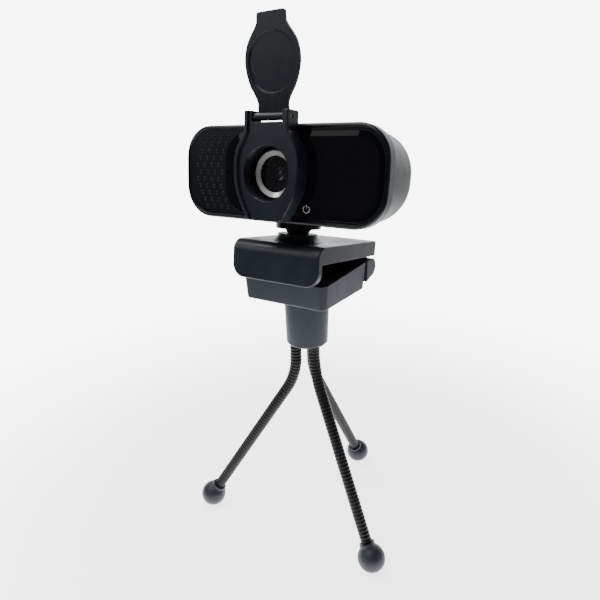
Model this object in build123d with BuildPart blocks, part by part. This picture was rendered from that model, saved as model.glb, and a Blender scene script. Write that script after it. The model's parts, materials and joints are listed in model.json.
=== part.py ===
from build123d import *
import math
import os

# Webcam with a privacy cover, on a monitor clip, on a small tripod with three gooseneck legs.
# Millimetres. +Z is up and the lens looks towards -Y. The origin is on the floor, under the
# middle of the box around the whole object.

# ---- tripod ----
hub_bottom = 93.15          # height of the hub's underside
hub_height = 23.95
hub_radius_top = 10.3
hub_radius_bottom = 9.5
hub_chamfer = 0.9
leg_radius = 2.7
leg_fit = 0.05              # radial gap of a leg in its socket
leg_socket_depth = 10.0
leg_ring_radius = 5.4       # from the hub's axis to each leg's axis
foot_radius = 6.15
foot_flat = 0.3             # height of the cap cut off each ball to stand on
foot_lip = 0.8              # collar round the leg where it enters the ball
foot_grip = 4.0             # length of leg held inside the ball
# name: (angle of the socket, direction the leg leans in, straight stub, bend radius, bend angle)
legs = {
    "left": (216.0, 207.2, 8.0, 30.0, 32.5),
    "right": (336.0, 336.0, 2.0, 40.0, 30.0),
    "rear": (96.0, 83.3, 8.0, 30.0, 31.5),
}
base_radius = 7.8           # disc that closes the hub's underside
base_thickness = 2.0
base_screw_head_height = 1.2
base_screw_head = 2.0
base_screw_shank = 1.2
base_screw_length = 9.0

# ---- quarter inch tripod thread ----
stud_radius = 3.175
stud_head_radius = 6.0
stud_head_height = 4.0
stud_reach = 7.0            # length that stands above the hub
stud_grip = 9.0             # length between the head and the hub's top
insert_radius = 5.0
insert_length = 7.9
insert_fit = 0.075          # radial gap between the stud and the insert

# ---- lower jaw ----
jaw_width = 41.2
lower_front = 20.1          # from the hub's axis to the front wall
lower_rear = 19.7           # from the hub's axis to the rear wall
lower_height_front = 10.4
lower_height_rear = 12.8
lower_wall = 1.8
lower_floor = 2.0
lower_corner = 2.5
lower_draft = 4.0           # degrees the lower jaw's walls lean outwards
lower_foot_inset = 0.9      # the lower jaw's underside is this much smaller all round
pad_thickness = 2.2
pad_sink = 0.6              # top of the lower pad below the rim
pad_gap = 0.15
rib_x = 12.0
rib_thickness = 1.5
boss_wall = 1.6

# ---- jaw hinge ----
hinge_back = 24.35          # from the hub's axis to the hinge axis
hinge_rise = 8.77           # from the lower jaw's underside to the hinge axis
knuckle_radius = 4.1
knuckle_width = 3.3
washer_thickness = 0.25
washer_gap = 0.05
pin_radius = 1.5
pin_fit = 0.05
pin_cover = 0.8             # skin left over the pin's blind end
jaw_open = 7.5              # how far the upper jaw stands open at rest, in degrees
head_pitch = 5.7            # how far the face looks up at rest, in degrees

# ---- upper jaw, in its own frame: u forward of the hinge, w above it ----
upper_length = 50.5
upper_overhang = 4.0
upper_bottom = 5.3
upper_top = 12.0
upper_wall = 1.6
lip_bottom = -3.8
lip_thickness = 3.0
lip_corner = 5.5
lip_round = 4.5
frame_thickness = 1.6
frame_gap = 0.1
jaw_pad_thickness = 1.2
jaw_pad_size = (30.0, 28.0)
jaw_pad_centre = 25.0
lip_pad_thickness = 1.0
lip_pad_size = (28.0, 5.6)
jaw_screw_x = 14.0
jaw_screw_rear = 7.5        # rear screws forward of the hinge
jaw_screw_inset = 5.5       # front screws behind the lip
jaw_screw_head = 1.8
jaw_screw_head_height = 1.0
jaw_screw_shank = 0.8
jaw_post_radius = 2.2

# ---- ball joint ----
ball_u = 33.1               # ball centre forward of the jaw hinge
ball_w = 19.6               # and above it
ball_radius = 6.2
liner_thickness = 1.0
ball_gap = 0.1              # gap on each side of the liner
socket_rim = 2.2            # rim of the socket below the ball's centre
socket_radius = 9.5
socket_roof = 1.5
liner_top = 5.0
cone_shoulder = 4.5         # top of the cone below the ball's centre
cone_radius_top = 8.3
cone_radius_waist = 9.35
cone_waist = 6.55            # height of the waist below the ball's centre
cone_radius_foot = 11.5
spigot_radius = 4.5
spigot_length = 2.0
stem_radius = 2.5
stem_fit = 0.05
stem_washer_radius = 4.2
stem_washer_thickness = 0.8
stem_screw_radius = 1.4
stem_screw_head = 2.6
stem_screw_head_height = 1.5
stem_screw_length = 8.0

# ---- head, in its own frame: x to the right, h up from its centre, d forward of its face ----
head_width = 92.0
head_height = 36.6
head_corner = 12.5
head_bulge = 1.3            # the ends bow out this much
head_depth = 31.0
face_d = 18.1               # face plane forward of the ball's centre
face_h = 19.2               # middle of the face above the ball's centre
bezel_depth = 5.5
bezel_round = 1.3
bezel_wall = 2.0
rim_width = 1.2
rim_depth = 0.6
rim_draft = 0.35
front_wall = 3.4
shell_step = 0.8            # the rear shell is this much smaller all round
shell_wall = 1.8
shell_round = 8.5
shell_corner = 16.0         # rounder ends than the bezel's
shell_bulge = 3.0
tongue_width = 1.0
tongue_height = 1.2
seam_gap = 0.1

panel_left = -24.8
panel_right = 44.2
panel_height = 31.2
panel_corner = 10.5
panel_thickness = 2.2
panel_bevel = 1.9
panel_bevel_height = 0.5
panel_gap = 0.1

dot_rows = 5                # rows above the middle row, and below it
dot_columns = 4
dot_left = -40.1
dot_pitch_x = 3.8
dot_pitch_h = 2.76
dot_step = 1.32             # how far each row steps in from the one nearer the middle
dot_radius = 0.75
dot_height = 0.35
dot_taper = 35.0

microphone_point = (-22.9, 0.3)
microphone_hole = 0.5
microphone_radius = 3.0
microphone_height = 2.65
symbol_point = (14.4, -12.3)
pipe_radius = 1.5
pipe_gap = 0.1

case_screw_x = 33.0
case_screw_h = 7.5
case_screw_shank = 1.2
case_screw_head = 2.4
case_screw_head_height = 1.6
case_counterbore = 12.0
case_tube_radius = 3.3
screw_gap = 0.15
screw_bite = 2.2

board_front = 14.5          # front of the circuit board behind the face
board_thickness = 1.6
board_width = 59.0
board_height = 29.0
board_notch_width = 22.0
board_notch_height = 5.0
board_screw_x = 25.0
board_screw_h = 9.0
post_radius = 2.2
board_screw_shank = 0.85
board_screw_head = 2.0
board_screw_head_height = 1.4
board_screw_length = 5.5
led_size = (1.6, 0.8, 0.7)
header_size = (10.0, 4.5, 5.0)
header_point = (0.0, 8.5)
chip_size = (9.0, 9.0, 1.0)
chip_point = (14.5, 3.0)

# ---- lens ----
ring_radius = 9.0
ring_inner = 6.85
ring_front = 0.8
window_radius = 7.6
window_thickness = 1.0
window_front = -0.2
barrel_head_radius = 7.3
barrel_front = -1.5
barrel_step = -6.5
barrel_thread_radius = 5.95
barrel_rear = -11.2
barrel_bore = 3.2
barrel_mouth = 6.6
barrel_mouth_depth = 2.3
front_lens_radius = 3.0
holder_size = 15.0
holder_front = -8.0
filter_radius = 5.0
filter_thickness = 0.5
sensor_size = (7.0, 6.0, 1.0)
lens_gap = 0.05

# ---- privacy cover ----
tape_thickness = 0.3
cover_depth = 7.0
cover_floor_depth = 6.1     # the plate between the rails is this thick
# half widths of the frame's outline, from the ears down: (height, half width)
cover_side = [(15.2, 9.8), (13.2, 10.8), (9.0, 13.2), (0.5, 14.4), (-6.5, 13.3), (-12.5, 10.6), (-15.0, 9.0)]
cover_ear_top = 22.3
cover_ear_half = 9.7
cover_bottom = -17.2
cover_bottom_half = 8.1
rail_width = 1.6
cover_hole_radius = 10.2
ear_gap_half = 6.8
ear_gap_bottom = 18.2
cover_round = 0.5
flap_axis_h = 20.2
flap_axis_d = 4.4           # hinge axis forward of the face plane
flap_lean = 5.5             # the open flap leans forward by this angle
flap_barrel_radius = 1.35
flap_pin_radius = 0.7
flap_pin_fit = 0.05
flap_thickness = 1.3
flap_seat_gap = 0.1         # between the closed flap and the plate it lies on
# half widths of the flap's outline, from its hinge up: (height, half width)
flap_side_points = [(4.4, 6.5), (6.2, 7.1), (9.5, 9.1), (14.3, 11.1), (18.3, 11.75), (22.0, 11.4), (26.0, 9.8),
                    (29.3, 7.3), (31.2, 6.1)]
flap_neck_half = 6.5
flap_tip_half = 5.9
flap_length = 34.5
flap_centre = 18.3          # centre of the dish above the hinge
dish_radius = 10.3
dish_depth = 0.6

# ---- cable entry ----
cable_hole_radius = 2.1
cable_hole_h = 1.5
cable_boss_radius = 4.2
cable_boss_length = 2.4

os.makedirs("parts", exist_ok=True)


def save(piece, label):
    piece.part.label = label
    export_step(piece.part, f"parts/{label}.step")


def leg_frame(name):
    # x runs outwards, y runs up, origin on the leg's axis at the hub's underside
    socket_angle, lean_angle, stub, bend, turn = legs[name]
    socket = math.radians(socket_angle)
    lean = math.radians(lean_angle)
    origin = (leg_ring_radius * math.cos(socket), neck_y + leg_ring_radius * math.sin(socket), hub_bottom)
    outwards = (math.cos(lean), math.sin(lean), 0)
    return Plane(origin=origin, x_dir=outwards, z_dir=(math.sin(lean), -math.cos(lean), 0))


def leg_run(name):
    # end of the bend, foot centre and the tilt of the straight run, in the leg's frame
    socket_angle, lean_angle, stub, bend, turn = legs[name]
    tilt = math.radians(turn)
    bend_end = (bend * (1 - math.cos(tilt)), -stub - bend * math.sin(tilt))
    drop = hub_bottom - (foot_radius - foot_flat) + bend_end[1]
    foot = (bend_end[0] + drop * math.tan(tilt), bend_end[1] - drop)
    return bend_end, foot, tilt


def foot_offset(name):
    # y of a foot's centre from the hub's axis
    socket = math.radians(legs[name][0])
    lean = math.radians(legs[name][1])
    return leg_ring_radius * math.sin(socket) + leg_run(name)[1][0] * math.sin(lean)


# The hub's axis stands behind or in front of the origin so that the feet span the origin evenly.
foot_offsets = [foot_offset(name) for name in legs]
neck_y = -(min(foot_offsets) + max(foot_offsets)) / 2

# ---- frames ----


def tilted(angle):
    # forward and upward directions of something that looks up by an angle
    tilt = math.radians(angle)
    return (0, -math.cos(tilt), math.sin(tilt)), (0, math.sin(tilt), math.cos(tilt))


jaw_forward, jaw_upward = tilted(jaw_open)
forward, upward = tilted(head_pitch)
hub_top = hub_bottom + hub_height
hinge_point = Vector(0, neck_y + hinge_back, hub_top + hinge_rise)
side = Plane(origin=(0, neck_y, 0), x_dir=(0, 1, 0), z_dir=(1, 0, 0))
hub_axis = Axis((0, neck_y, 0), (0, 0, 1))
jaw = Plane(origin=hinge_point, x_dir=(1, 0, 0), z_dir=jaw_upward)
jaw_side = Plane(origin=hinge_point, x_dir=jaw_forward, z_dir=(-1, 0, 0))
jaw_forward_axis = Axis(hinge_point, jaw_forward)
jaw_upward_axis = Axis(hinge_point, jaw_upward)
ball_centre = hinge_point + Vector(jaw_forward) * ball_u + Vector(jaw_upward) * ball_w
stem_section = Plane(origin=ball_centre, x_dir=(1, 0, 0), z_dir=jaw_forward)
stem_axis = Axis(ball_centre, jaw_upward)
stem_level = Plane(origin=ball_centre, x_dir=(1, 0, 0), z_dir=jaw_upward)
socket_level = Plane(origin=ball_centre, x_dir=(1, 0, 0), z_dir=upward)
face_centre = ball_centre + Vector(forward) * face_d + Vector(upward) * face_h
face = Plane(origin=face_centre, x_dir=(1, 0, 0), z_dir=forward)
forward_axis = Axis(face_centre, forward)

# ================= tripod =================
stud_bottom = hub_top - stud_grip - stud_head_height

with BuildPart() as tripod_stud:
    with BuildSketch(Plane.XY.offset(stud_bottom)):
        with Locations((0, neck_y)):
            RegularPolygon(stud_head_radius, 6)
    extrude(amount=stud_head_height)
    with BuildSketch(Plane.XY.offset(stud_bottom + stud_head_height)):
        with Locations((0, neck_y)):
            Circle(stud_radius)
    extrude(amount=stud_grip + stud_reach)
    chamfer(tripod_stud.edges().sort_by(Axis.Z)[-1], 0.6)
save(tripod_stud, "tripod_stud")

leg_points = [
    (leg_ring_radius * math.cos(math.radians(legs[name][0])),
     neck_y + leg_ring_radius * math.sin(math.radians(legs[name][0])))
    for name in legs
]

with BuildPart() as tripod_hub:
    with BuildSketch(side):
        with BuildLine():
            Polyline(
                (0, hub_bottom),
                (hub_radius_bottom - hub_chamfer, hub_bottom),
                (hub_radius_bottom, hub_bottom + hub_chamfer),
                (hub_radius_top, hub_top),
                (0, hub_top),
                close=True,
            )
        make_face()
    revolve(axis=hub_axis)
    with BuildSketch(Plane.XY.offset(hub_bottom)):
        with Locations((0, neck_y)):
            Circle(base_radius + leg_fit)
    extrude(amount=base_thickness, mode=Mode.SUBTRACT)
    with BuildSketch(Plane.XY.offset(hub_bottom)):
        with Locations(*leg_points):
            Circle(leg_radius + leg_fit)
    extrude(amount=leg_socket_depth, mode=Mode.SUBTRACT)
    with BuildSketch(Plane.XY.offset(hub_bottom + base_thickness)):
        with Locations((0, neck_y)):
            Circle(base_screw_shank)
    extrude(amount=base_screw_length - base_thickness + 0.5, mode=Mode.SUBTRACT)
    add(tripod_stud.part, mode=Mode.SUBTRACT)
save(tripod_hub, "tripod_hub")

with BuildPart() as hub_base:
    with BuildSketch(Plane.XY.offset(hub_bottom)):
        with Locations((0, neck_y)):
            Circle(base_radius)
            Circle(base_screw_shank + leg_fit, mode=Mode.SUBTRACT)
        with Locations(*leg_points):
            Circle(leg_radius + leg_fit, mode=Mode.SUBTRACT)
    extrude(amount=base_thickness)
save(hub_base, "hub_base")

with BuildPart() as hub_screw:
    with BuildSketch(Plane.XY.offset(hub_bottom)):
        with Locations((0, neck_y)):
            Circle(base_screw_head)
    extrude(amount=-base_screw_head_height)
    with BuildSketch(Plane.XY.offset(hub_bottom)):
        with Locations((0, neck_y)):
            Circle(base_screw_shank)
    extrude(amount=base_screw_length)
save(hub_screw, "hub_screw")

for name in legs:
    frame = leg_frame(name)
    stub = legs[name][2]
    bend = legs[name][3]
    turn = legs[name][4]
    bend_end, foot_centre, lean = leg_run(name)
    down_leg = (math.sin(lean), -math.cos(lean))
    reach = foot_radius - foot_grip
    tip = (foot_centre[0] - down_leg[0] * reach, foot_centre[1] - down_leg[1] * reach)

    with BuildPart() as leg_top:
        with BuildLine(frame) as top_path:
            Line((0, leg_socket_depth), (0, -stub))
        with BuildSketch(Plane(origin=top_path.line @ 0, z_dir=top_path.line % 0)):
            Circle(leg_radius)
        sweep(path=top_path.line)
    save(leg_top, f"leg_{name}_top")

    with BuildPart() as leg_bend:
        with BuildLine(frame) as bend_path:
            JernArc(start=(0, -stub), tangent=(0, -1), radius=bend, arc_size=turn)
        with BuildSketch(Plane(origin=bend_path.line @ 0, z_dir=bend_path.line % 0)):
            Circle(leg_radius)
        sweep(path=bend_path.line)
    save(leg_bend, f"leg_{name}_bend")

    with BuildPart() as leg_lower:
        with BuildLine(frame) as lower_path:
            Line(bend_end, tip)
        with BuildSketch(Plane(origin=lower_path.line @ 0, z_dir=lower_path.line % 0)):
            Circle(leg_radius)
        sweep(path=lower_path.line)
    save(leg_lower, f"leg_{name}_lower")

    foot_point = frame.from_local_coords((foot_centre[0], foot_centre[1], 0))
    foot_axis = frame.from_local_coords((bend_end[0], bend_end[1], 0)) - foot_point
    with BuildPart() as foot:
        with Locations(foot_point):
            Sphere(foot_radius)
        with BuildSketch(Plane(origin=foot_point, z_dir=foot_axis)):
            Circle(leg_radius + foot_lip)
        extrude(amount=foot_radius + 0.5)
        split(bisect_by=Plane.XY, keep=Keep.TOP)
        add(leg_lower.part, mode=Mode.SUBTRACT)
    save(foot, f"foot_{name}")

# ================= lower jaw =================
lower_bottom = hub_top


def rim_height(y):
    # height of the lower jaw's rim at a distance y behind the hub's axis
    rise = (lower_height_rear - lower_height_front) / (lower_rear + lower_front)
    return lower_bottom + lower_height_front + (y + lower_front) * rise


lower_length = lower_front + lower_rear
rim_plane = Plane(
    origin=(0, neck_y, rim_height(0)),
    x_dir=(1, 0, 0),
    z_dir=(0, lower_height_front - lower_height_rear, lower_length),
)

knuckle_inner = jaw_width / 2 - knuckle_width
hinge_z = hub_top + hinge_rise

with BuildPart() as lower_jaw:
    with BuildSketch(Plane.XY.offset(lower_bottom)):
        with Locations((0, neck_y + (lower_rear - lower_front) / 2)):
            RectangleRounded(jaw_width - 2 * lower_foot_inset, lower_length - 2 * lower_foot_inset, lower_corner)
    extrude(amount=lower_height_rear + 1, taper=-lower_draft)
    split(bisect_by=rim_plane, keep=Keep.BOTTOM)
    fillet(lower_jaw.faces().sort_by(Axis.Z)[0].edges(), 0.8)
    with BuildSketch(Plane.XY.offset(lower_bottom + lower_floor)):
        with Locations((0, neck_y + (lower_rear - lower_front) / 2)):
            RectangleRounded(jaw_width - 2 * lower_wall, lower_length - 2 * lower_wall, lower_corner - 1)
    extrude(amount=lower_height_rear, mode=Mode.SUBTRACT)
    # two ribs carry the pad
    for x in (-rib_x, rib_x - rib_thickness):
        with BuildSketch(side.offset(x)):
            with BuildLine():
                Polyline(
                    (-lower_front + 1, lower_bottom + 1),
                    (-lower_front + 1, rim_height(-lower_front + 1) - pad_sink - pad_thickness),
                    (lower_rear - 1, rim_height(lower_rear - 1) - pad_sink - pad_thickness),
                    (lower_rear - 1, lower_bottom + 1),
                    close=True,
                )
            make_face()
        extrude(amount=rib_thickness)
    with BuildSketch(Plane.XY.offset(lower_bottom + 1)):
        with Locations((0, neck_y)):
            Circle(insert_radius + boss_wall)
    extrude(amount=insert_length - 1)
    with BuildSketch(Plane.XY.offset(lower_bottom)):
        with Locations((0, neck_y)):
            Circle(insert_radius)
    extrude(amount=insert_length, mode=Mode.SUBTRACT)
    # outer knuckles of the hinge
    reach = knuckle_radius / math.sqrt(2)
    for x in (-jaw_width / 2, knuckle_inner):
        with BuildSketch(side.offset(x)):
            with Locations((hinge_back, hinge_z)):
                Circle(knuckle_radius)
            with BuildLine():
                Polyline(
                    (lower_rear - 0.5, lower_bottom + 3.0),
                    (hinge_back + reach, hinge_z - reach),
                    (hinge_back, hinge_z + knuckle_radius),
                    (lower_rear - 0.5, rim_height(lower_rear) - 0.1),
                    close=True,
                )
            make_face()
        extrude(amount=knuckle_width)
    with BuildSketch(side.offset(-jaw_width / 2)):
        with Locations((hinge_back, hinge_z)):
            Circle(pin_radius)
    extrude(amount=jaw_width - pin_cover, mode=Mode.SUBTRACT)
save(lower_jaw, "lower_jaw")

with BuildPart() as thread_insert:
    with BuildSketch(Plane.XY.offset(lower_bottom)):
        with Locations((0, neck_y)):
            Circle(insert_radius)
            Circle(stud_radius + insert_fit, mode=Mode.SUBTRACT)
    extrude(amount=insert_length)
save(thread_insert, "thread_insert")

with BuildPart() as lower_pad:
    pad_front = -lower_front + lower_wall + pad_gap
    pad_rear = lower_rear - lower_wall - pad_gap
    with BuildSketch(side):
        with BuildLine():
            Polyline(
                (pad_front, rim_height(pad_front) - pad_sink - pad_thickness),
                (pad_front, rim_height(pad_front) - pad_sink),
                (pad_rear, rim_height(pad_rear) - pad_sink),
                (pad_rear, rim_height(pad_rear) - pad_sink - pad_thickness),
                close=True,
            )
        make_face()
    extrude(amount=jaw_width / 2 - lower_wall - pad_gap, both=True)
    fillet(lower_pad.edges().filter_by(Axis.Z), lower_corner - 1)
save(lower_pad, "lower_pad")

with BuildPart() as jaw_pin:
    with BuildSketch(side.offset(-jaw_width / 2)):
        with Locations((hinge_back, hinge_z)):
            Circle(pin_radius)
    extrude(amount=jaw_width - pin_cover)
save(jaw_pin, "jaw_pin")

with BuildPart() as jaw_washers:
    for x in (-knuckle_inner, knuckle_inner - washer_thickness):
        with BuildSketch(side.offset(x)):
            with Locations((hinge_back, hinge_z)):
                Circle(knuckle_radius - 0.4)
                Circle(pin_radius + pin_fit, mode=Mode.SUBTRACT)
        extrude(amount=washer_thickness)
save(jaw_washers, "jaw_washers")

# ================= upper jaw =================
barrel_half = knuckle_inner - washer_thickness - washer_gap
cavity_front = upper_length - lip_thickness
cavity_rear = -upper_overhang + upper_wall
cavity_width = jaw_width - 2 * upper_wall
jaw_screw_rows = (jaw_screw_rear, cavity_front - jaw_screw_inset)
jaw_screw_points = [(x, u) for u in jaw_screw_rows for x in (-jaw_screw_x, jaw_screw_x)]

with BuildPart() as jaw_cover:
    with BuildSketch(jaw_side) as jaw_profile:
        with BuildLine():
            Polyline(
                (-upper_overhang, upper_bottom),
                (-upper_overhang, upper_top),
                (upper_length, upper_top),
                (upper_length, lip_bottom),
                (cavity_front, lip_bottom),
                (cavity_front, upper_bottom),
                close=True,
            )
        make_face()
        fillet(jaw_profile.vertices().group_by(Axis.Y)[-1].sort_by(Axis.X)[-1], lip_round)
    extrude(amount=jaw_width / 2, both=True)
    lip_edges = jaw_cover.edges().filter_by(jaw_forward_axis).group_by(jaw_upward_axis)[0]
    fillet(lip_edges, lip_corner)
    lip_face = jaw_cover.faces().filter_by(jaw_forward_axis).sort_by(jaw_forward_axis)[-1]
    fillet(lip_face.edges().group_by(jaw_upward_axis)[0], 0.6)
    rear_edges = jaw_cover.edges().filter_by(jaw_upward_axis).group_by(jaw_forward_axis)[0]
    fillet(rear_edges, lower_corner)
    with BuildSketch(jaw.offset(upper_bottom)):
        with Locations((0, -(cavity_front + cavity_rear) / 2)):
            RectangleRounded(cavity_width, cavity_front - cavity_rear, 1.0)
    extrude(amount=upper_top - upper_bottom - upper_wall, mode=Mode.SUBTRACT)
    with BuildSketch(jaw.offset(upper_bottom + frame_thickness)):
        with Locations(*[(x, -u) for x, u in jaw_screw_points]):
            Circle(jaw_post_radius)
            Circle(jaw_screw_shank, mode=Mode.SUBTRACT)
    extrude(amount=upper_top - upper_bottom - frame_thickness - upper_wall + 0.2)
    with BuildSketch(jaw.offset(upper_top)):
        with Locations((0, -ball_u)):
            Circle(spigot_radius + stem_fit)
    extrude(amount=-2 * upper_wall, mode=Mode.SUBTRACT)
save(jaw_cover, "jaw_cover")

frame_front = cavity_front - frame_gap
frame_rear = cavity_rear + frame_gap

with BuildPart() as jaw_frame:
    with BuildSketch(jaw.offset(upper_bottom)):
        with Locations((0, -(frame_front + frame_rear) / 2)):
            RectangleRounded(cavity_width - 2 * frame_gap, frame_front - frame_rear, 1.0)
    extrude(amount=frame_thickness)
    with BuildSketch(jaw_side):
        Circle(knuckle_radius)
        with Locations((knuckle_radius / 4, upper_bottom / 2)):
            Rectangle(knuckle_radius * 1.3, upper_bottom)
    extrude(amount=barrel_half, both=True)
    with BuildSketch(jaw_side):
        Circle(pin_radius + pin_fit)
    extrude(amount=barrel_half, both=True, mode=Mode.SUBTRACT)
    with BuildSketch(jaw.offset(upper_bottom)):
        with Locations(*[(x, -u) for x, u in jaw_screw_points]):
            Circle(jaw_screw_shank + 0.1)
    extrude(amount=frame_thickness, mode=Mode.SUBTRACT)
    with BuildSketch(jaw.offset(upper_bottom)):
        with Locations(*[(x, -u) for x, u in jaw_screw_points]):
            Circle(jaw_screw_head + 0.1)
    extrude(amount=jaw_screw_head_height, mode=Mode.SUBTRACT)
save(jaw_frame, "jaw_frame")

with BuildPart() as jaw_screws:
    for x, u in jaw_screw_points:
        with BuildSketch(jaw.offset(upper_bottom)):
            with Locations((x, -u)):
                Circle(jaw_screw_head)
        extrude(amount=jaw_screw_head_height)
        with BuildSketch(jaw.offset(upper_bottom + jaw_screw_head_height)):
            with Locations((x, -u)):
                Circle(jaw_screw_shank)
        extrude(amount=3.0)
save(jaw_screws, "jaw_screws")

with BuildPart() as jaw_pad:
    with BuildSketch(jaw.offset(upper_bottom)):
        with Locations((0, -jaw_pad_centre)):
            RectangleRounded(jaw_pad_size[0], jaw_pad_size[1], 3.0)
    extrude(amount=-jaw_pad_thickness)
save(jaw_pad, "jaw_pad")

with BuildPart() as lip_pad:
    with BuildSketch(Plane(origin=jaw_side.from_local_coords((cavity_front, 1.2, 0)),
                           x_dir=(1, 0, 0), z_dir=jaw_forward)):
        RectangleRounded(lip_pad_size[0], lip_pad_size[1], 1.5)
    extrude(amount=-lip_pad_thickness)
save(lip_pad, "lip_pad")

# ================= ball joint =================
cone_foot = ball_w - upper_top
liner_inner = ball_radius + ball_gap
liner_outer = liner_inner + liner_thickness
socket_inner = liner_outer + ball_gap
spigot_bottom = cone_foot + spigot_length

with BuildPart() as neck_cone:
    with BuildSketch(stem_section):
        with BuildLine():
            Line((stem_radius + stem_fit, -cone_shoulder), (cone_radius_top, -cone_shoulder))
            ThreePointArc(
                (cone_radius_top, -cone_shoulder),
                (cone_radius_waist, -cone_waist),
                (cone_radius_foot, -cone_foot),
            )
            Polyline(
                (cone_radius_foot, -cone_foot),
                (spigot_radius, -cone_foot),
                (spigot_radius, -spigot_bottom),
                (stem_radius + stem_fit, -spigot_bottom),
                (stem_radius + stem_fit, -cone_shoulder),
            )
        make_face()
    revolve(axis=stem_axis)
    with Locations(ball_centre):
        Sphere(ball_radius + ball_gap, mode=Mode.SUBTRACT)
save(neck_cone, "neck_cone")

stem_bottom = spigot_bottom + 0.1

with BuildPart() as ball_stud:
    with Locations(ball_centre):
        Sphere(ball_radius)
    with BuildSketch(stem_level.offset(-stem_bottom)):
        Circle(stem_radius)
    extrude(amount=stem_bottom)
    with BuildSketch(stem_level.offset(-stem_bottom)):
        Circle(stem_screw_radius)
    extrude(amount=stem_screw_length, mode=Mode.SUBTRACT)
save(ball_stud, "ball_stud")

with BuildPart() as stem_washer:
    with BuildSketch(stem_level.offset(-stem_bottom)):
        Circle(stem_washer_radius)
        Circle(stem_screw_radius + 0.1, mode=Mode.SUBTRACT)
    extrude(amount=-stem_washer_thickness)
save(stem_washer, "stem_washer")

with BuildPart() as stem_screw:
    with BuildSketch(stem_level.offset(-stem_bottom - stem_washer_thickness)):
        Circle(stem_screw_head)
    extrude(amount=-stem_screw_head_height)
    with BuildSketch(stem_level.offset(-stem_bottom - stem_washer_thickness)):
        Circle(stem_screw_radius)
    extrude(amount=stem_screw_length + stem_washer_thickness - 0.5)
save(stem_screw, "stem_screw")

with BuildPart() as ball_liner:
    with Locations(ball_centre):
        Sphere(liner_outer)
        Sphere(liner_inner, mode=Mode.SUBTRACT)
    split(bisect_by=socket_level.offset(-socket_rim), keep=Keep.TOP)
    split(bisect_by=socket_level.offset(liner_top), keep=Keep.BOTTOM)
save(ball_liner, "ball_liner")

# ================= head =================
shell_width = head_width - 2 * shell_step
shell_height = head_height - 2 * shell_step
shell_bottom = face_h - shell_height / 2       # underside of the rear shell above the ball's centre
panel_width = panel_right - panel_left
panel_x = (panel_right + panel_left) / 2
panel_floor = rim_depth + panel_thickness - panel_bevel_height
panel_front = panel_bevel_height - rim_depth
case_points = [(x, h) for x in (-case_screw_x, case_screw_x) for h in (-case_screw_h, case_screw_h)]
board_points = [(x, h) for x in (-board_screw_x, board_screw_x) for h in (-board_screw_h, board_screw_h)]

dot_points = []
for row in range(-dot_rows, dot_rows + 1):
    start = dot_left + (dot_pitch_x / 2 if row == 0 else dot_step * (abs(row) - 1))
    for column in range(dot_columns):
        dot_points.append((start + column * dot_pitch_x, row * dot_pitch_h))



def bar_outline(width, height, corner, bulge):
    # long shape with rounded corners and ends that bow out
    x = width / 2 - bulge
    h = height / 2
    with BuildSketch(mode=Mode.PRIVATE) as outline:
        with BuildLine():
            Line((-x, h), (x, h))
            ThreePointArc((x, h), (width / 2, 0), (x, -h))
            Line((x, -h), (-x, -h))
            ThreePointArc((-x, -h), (-width / 2, 0), (-x, h))
        make_face()
        fillet(outline.vertices(), corner)
    return outline.sketch


def head_outline(inset):
    return bar_outline(head_width - 2 * inset, head_height - 2 * inset, head_corner - inset, head_bulge)


def shell_outline(inset):
    return bar_outline(shell_width - 2 * inset, shell_height - 2 * inset, shell_corner - inset, shell_bulge)


def panel_outline(inset):
    return bar_outline(panel_width - 2 * inset, panel_height - 2 * inset, panel_corner - inset, head_bulge)


with BuildPart() as front_bezel:
    with BuildSketch(face.offset(-bezel_depth)):
        add(head_outline(0))
    extrude(amount=bezel_depth)
    fillet(front_bezel.edges().group_by(forward_axis)[-1], bezel_round)
    with BuildSketch(face):
        add(head_outline(rim_width))
    with BuildSketch(face.offset(-rim_depth)):
        add(head_outline(rim_width + rim_draft))
    loft(ruled=True, mode=Mode.SUBTRACT)
    with BuildSketch(face.offset(-rim_depth)):
        with Locations((panel_x, 0)):
            add(panel_outline(-panel_gap))
    extrude(amount=rim_depth - panel_floor, mode=Mode.SUBTRACT)
    with BuildSketch(face.offset(-bezel_depth)):
        add(head_outline(bezel_wall))
    extrude(amount=bezel_depth - rim_depth - front_wall, mode=Mode.SUBTRACT)
    # bosses for the case screws, and posts for the board
    with BuildSketch(face.offset(-bezel_depth)):
        with Locations(*case_points):
            Circle(case_tube_radius)
    extrude(amount=bezel_depth - rim_depth - front_wall + 0.2)
    with BuildSketch(face.offset(-board_front)):
        with Locations(*board_points):
            Circle(post_radius)
    extrude(amount=board_front - rim_depth - front_wall + 0.2)
    with BuildSketch(face.offset(-bezel_depth)):
        with Locations(*case_points):
            Circle(case_screw_shank)
    extrude(amount=screw_bite, mode=Mode.SUBTRACT)
    with BuildSketch(face.offset(-board_front)):
        with Locations(*board_points):
            Circle(board_screw_shank)
    extrude(amount=board_screw_length, mode=Mode.SUBTRACT)
    with BuildSketch(face):
        Circle(barrel_head_radius + 0.3)
        with Locations(symbol_point):
            Circle(pipe_radius + pipe_gap)
        with Locations(microphone_point):
            Circle(microphone_hole)
    extrude(amount=-rim_depth - front_wall - 0.1, mode=Mode.SUBTRACT)
    with BuildSketch(face.offset(-rim_depth)):
        with Locations(*dot_points):
            Circle(dot_radius)
    extrude(amount=dot_height, taper=dot_taper)
save(front_bezel, "front_bezel")

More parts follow.
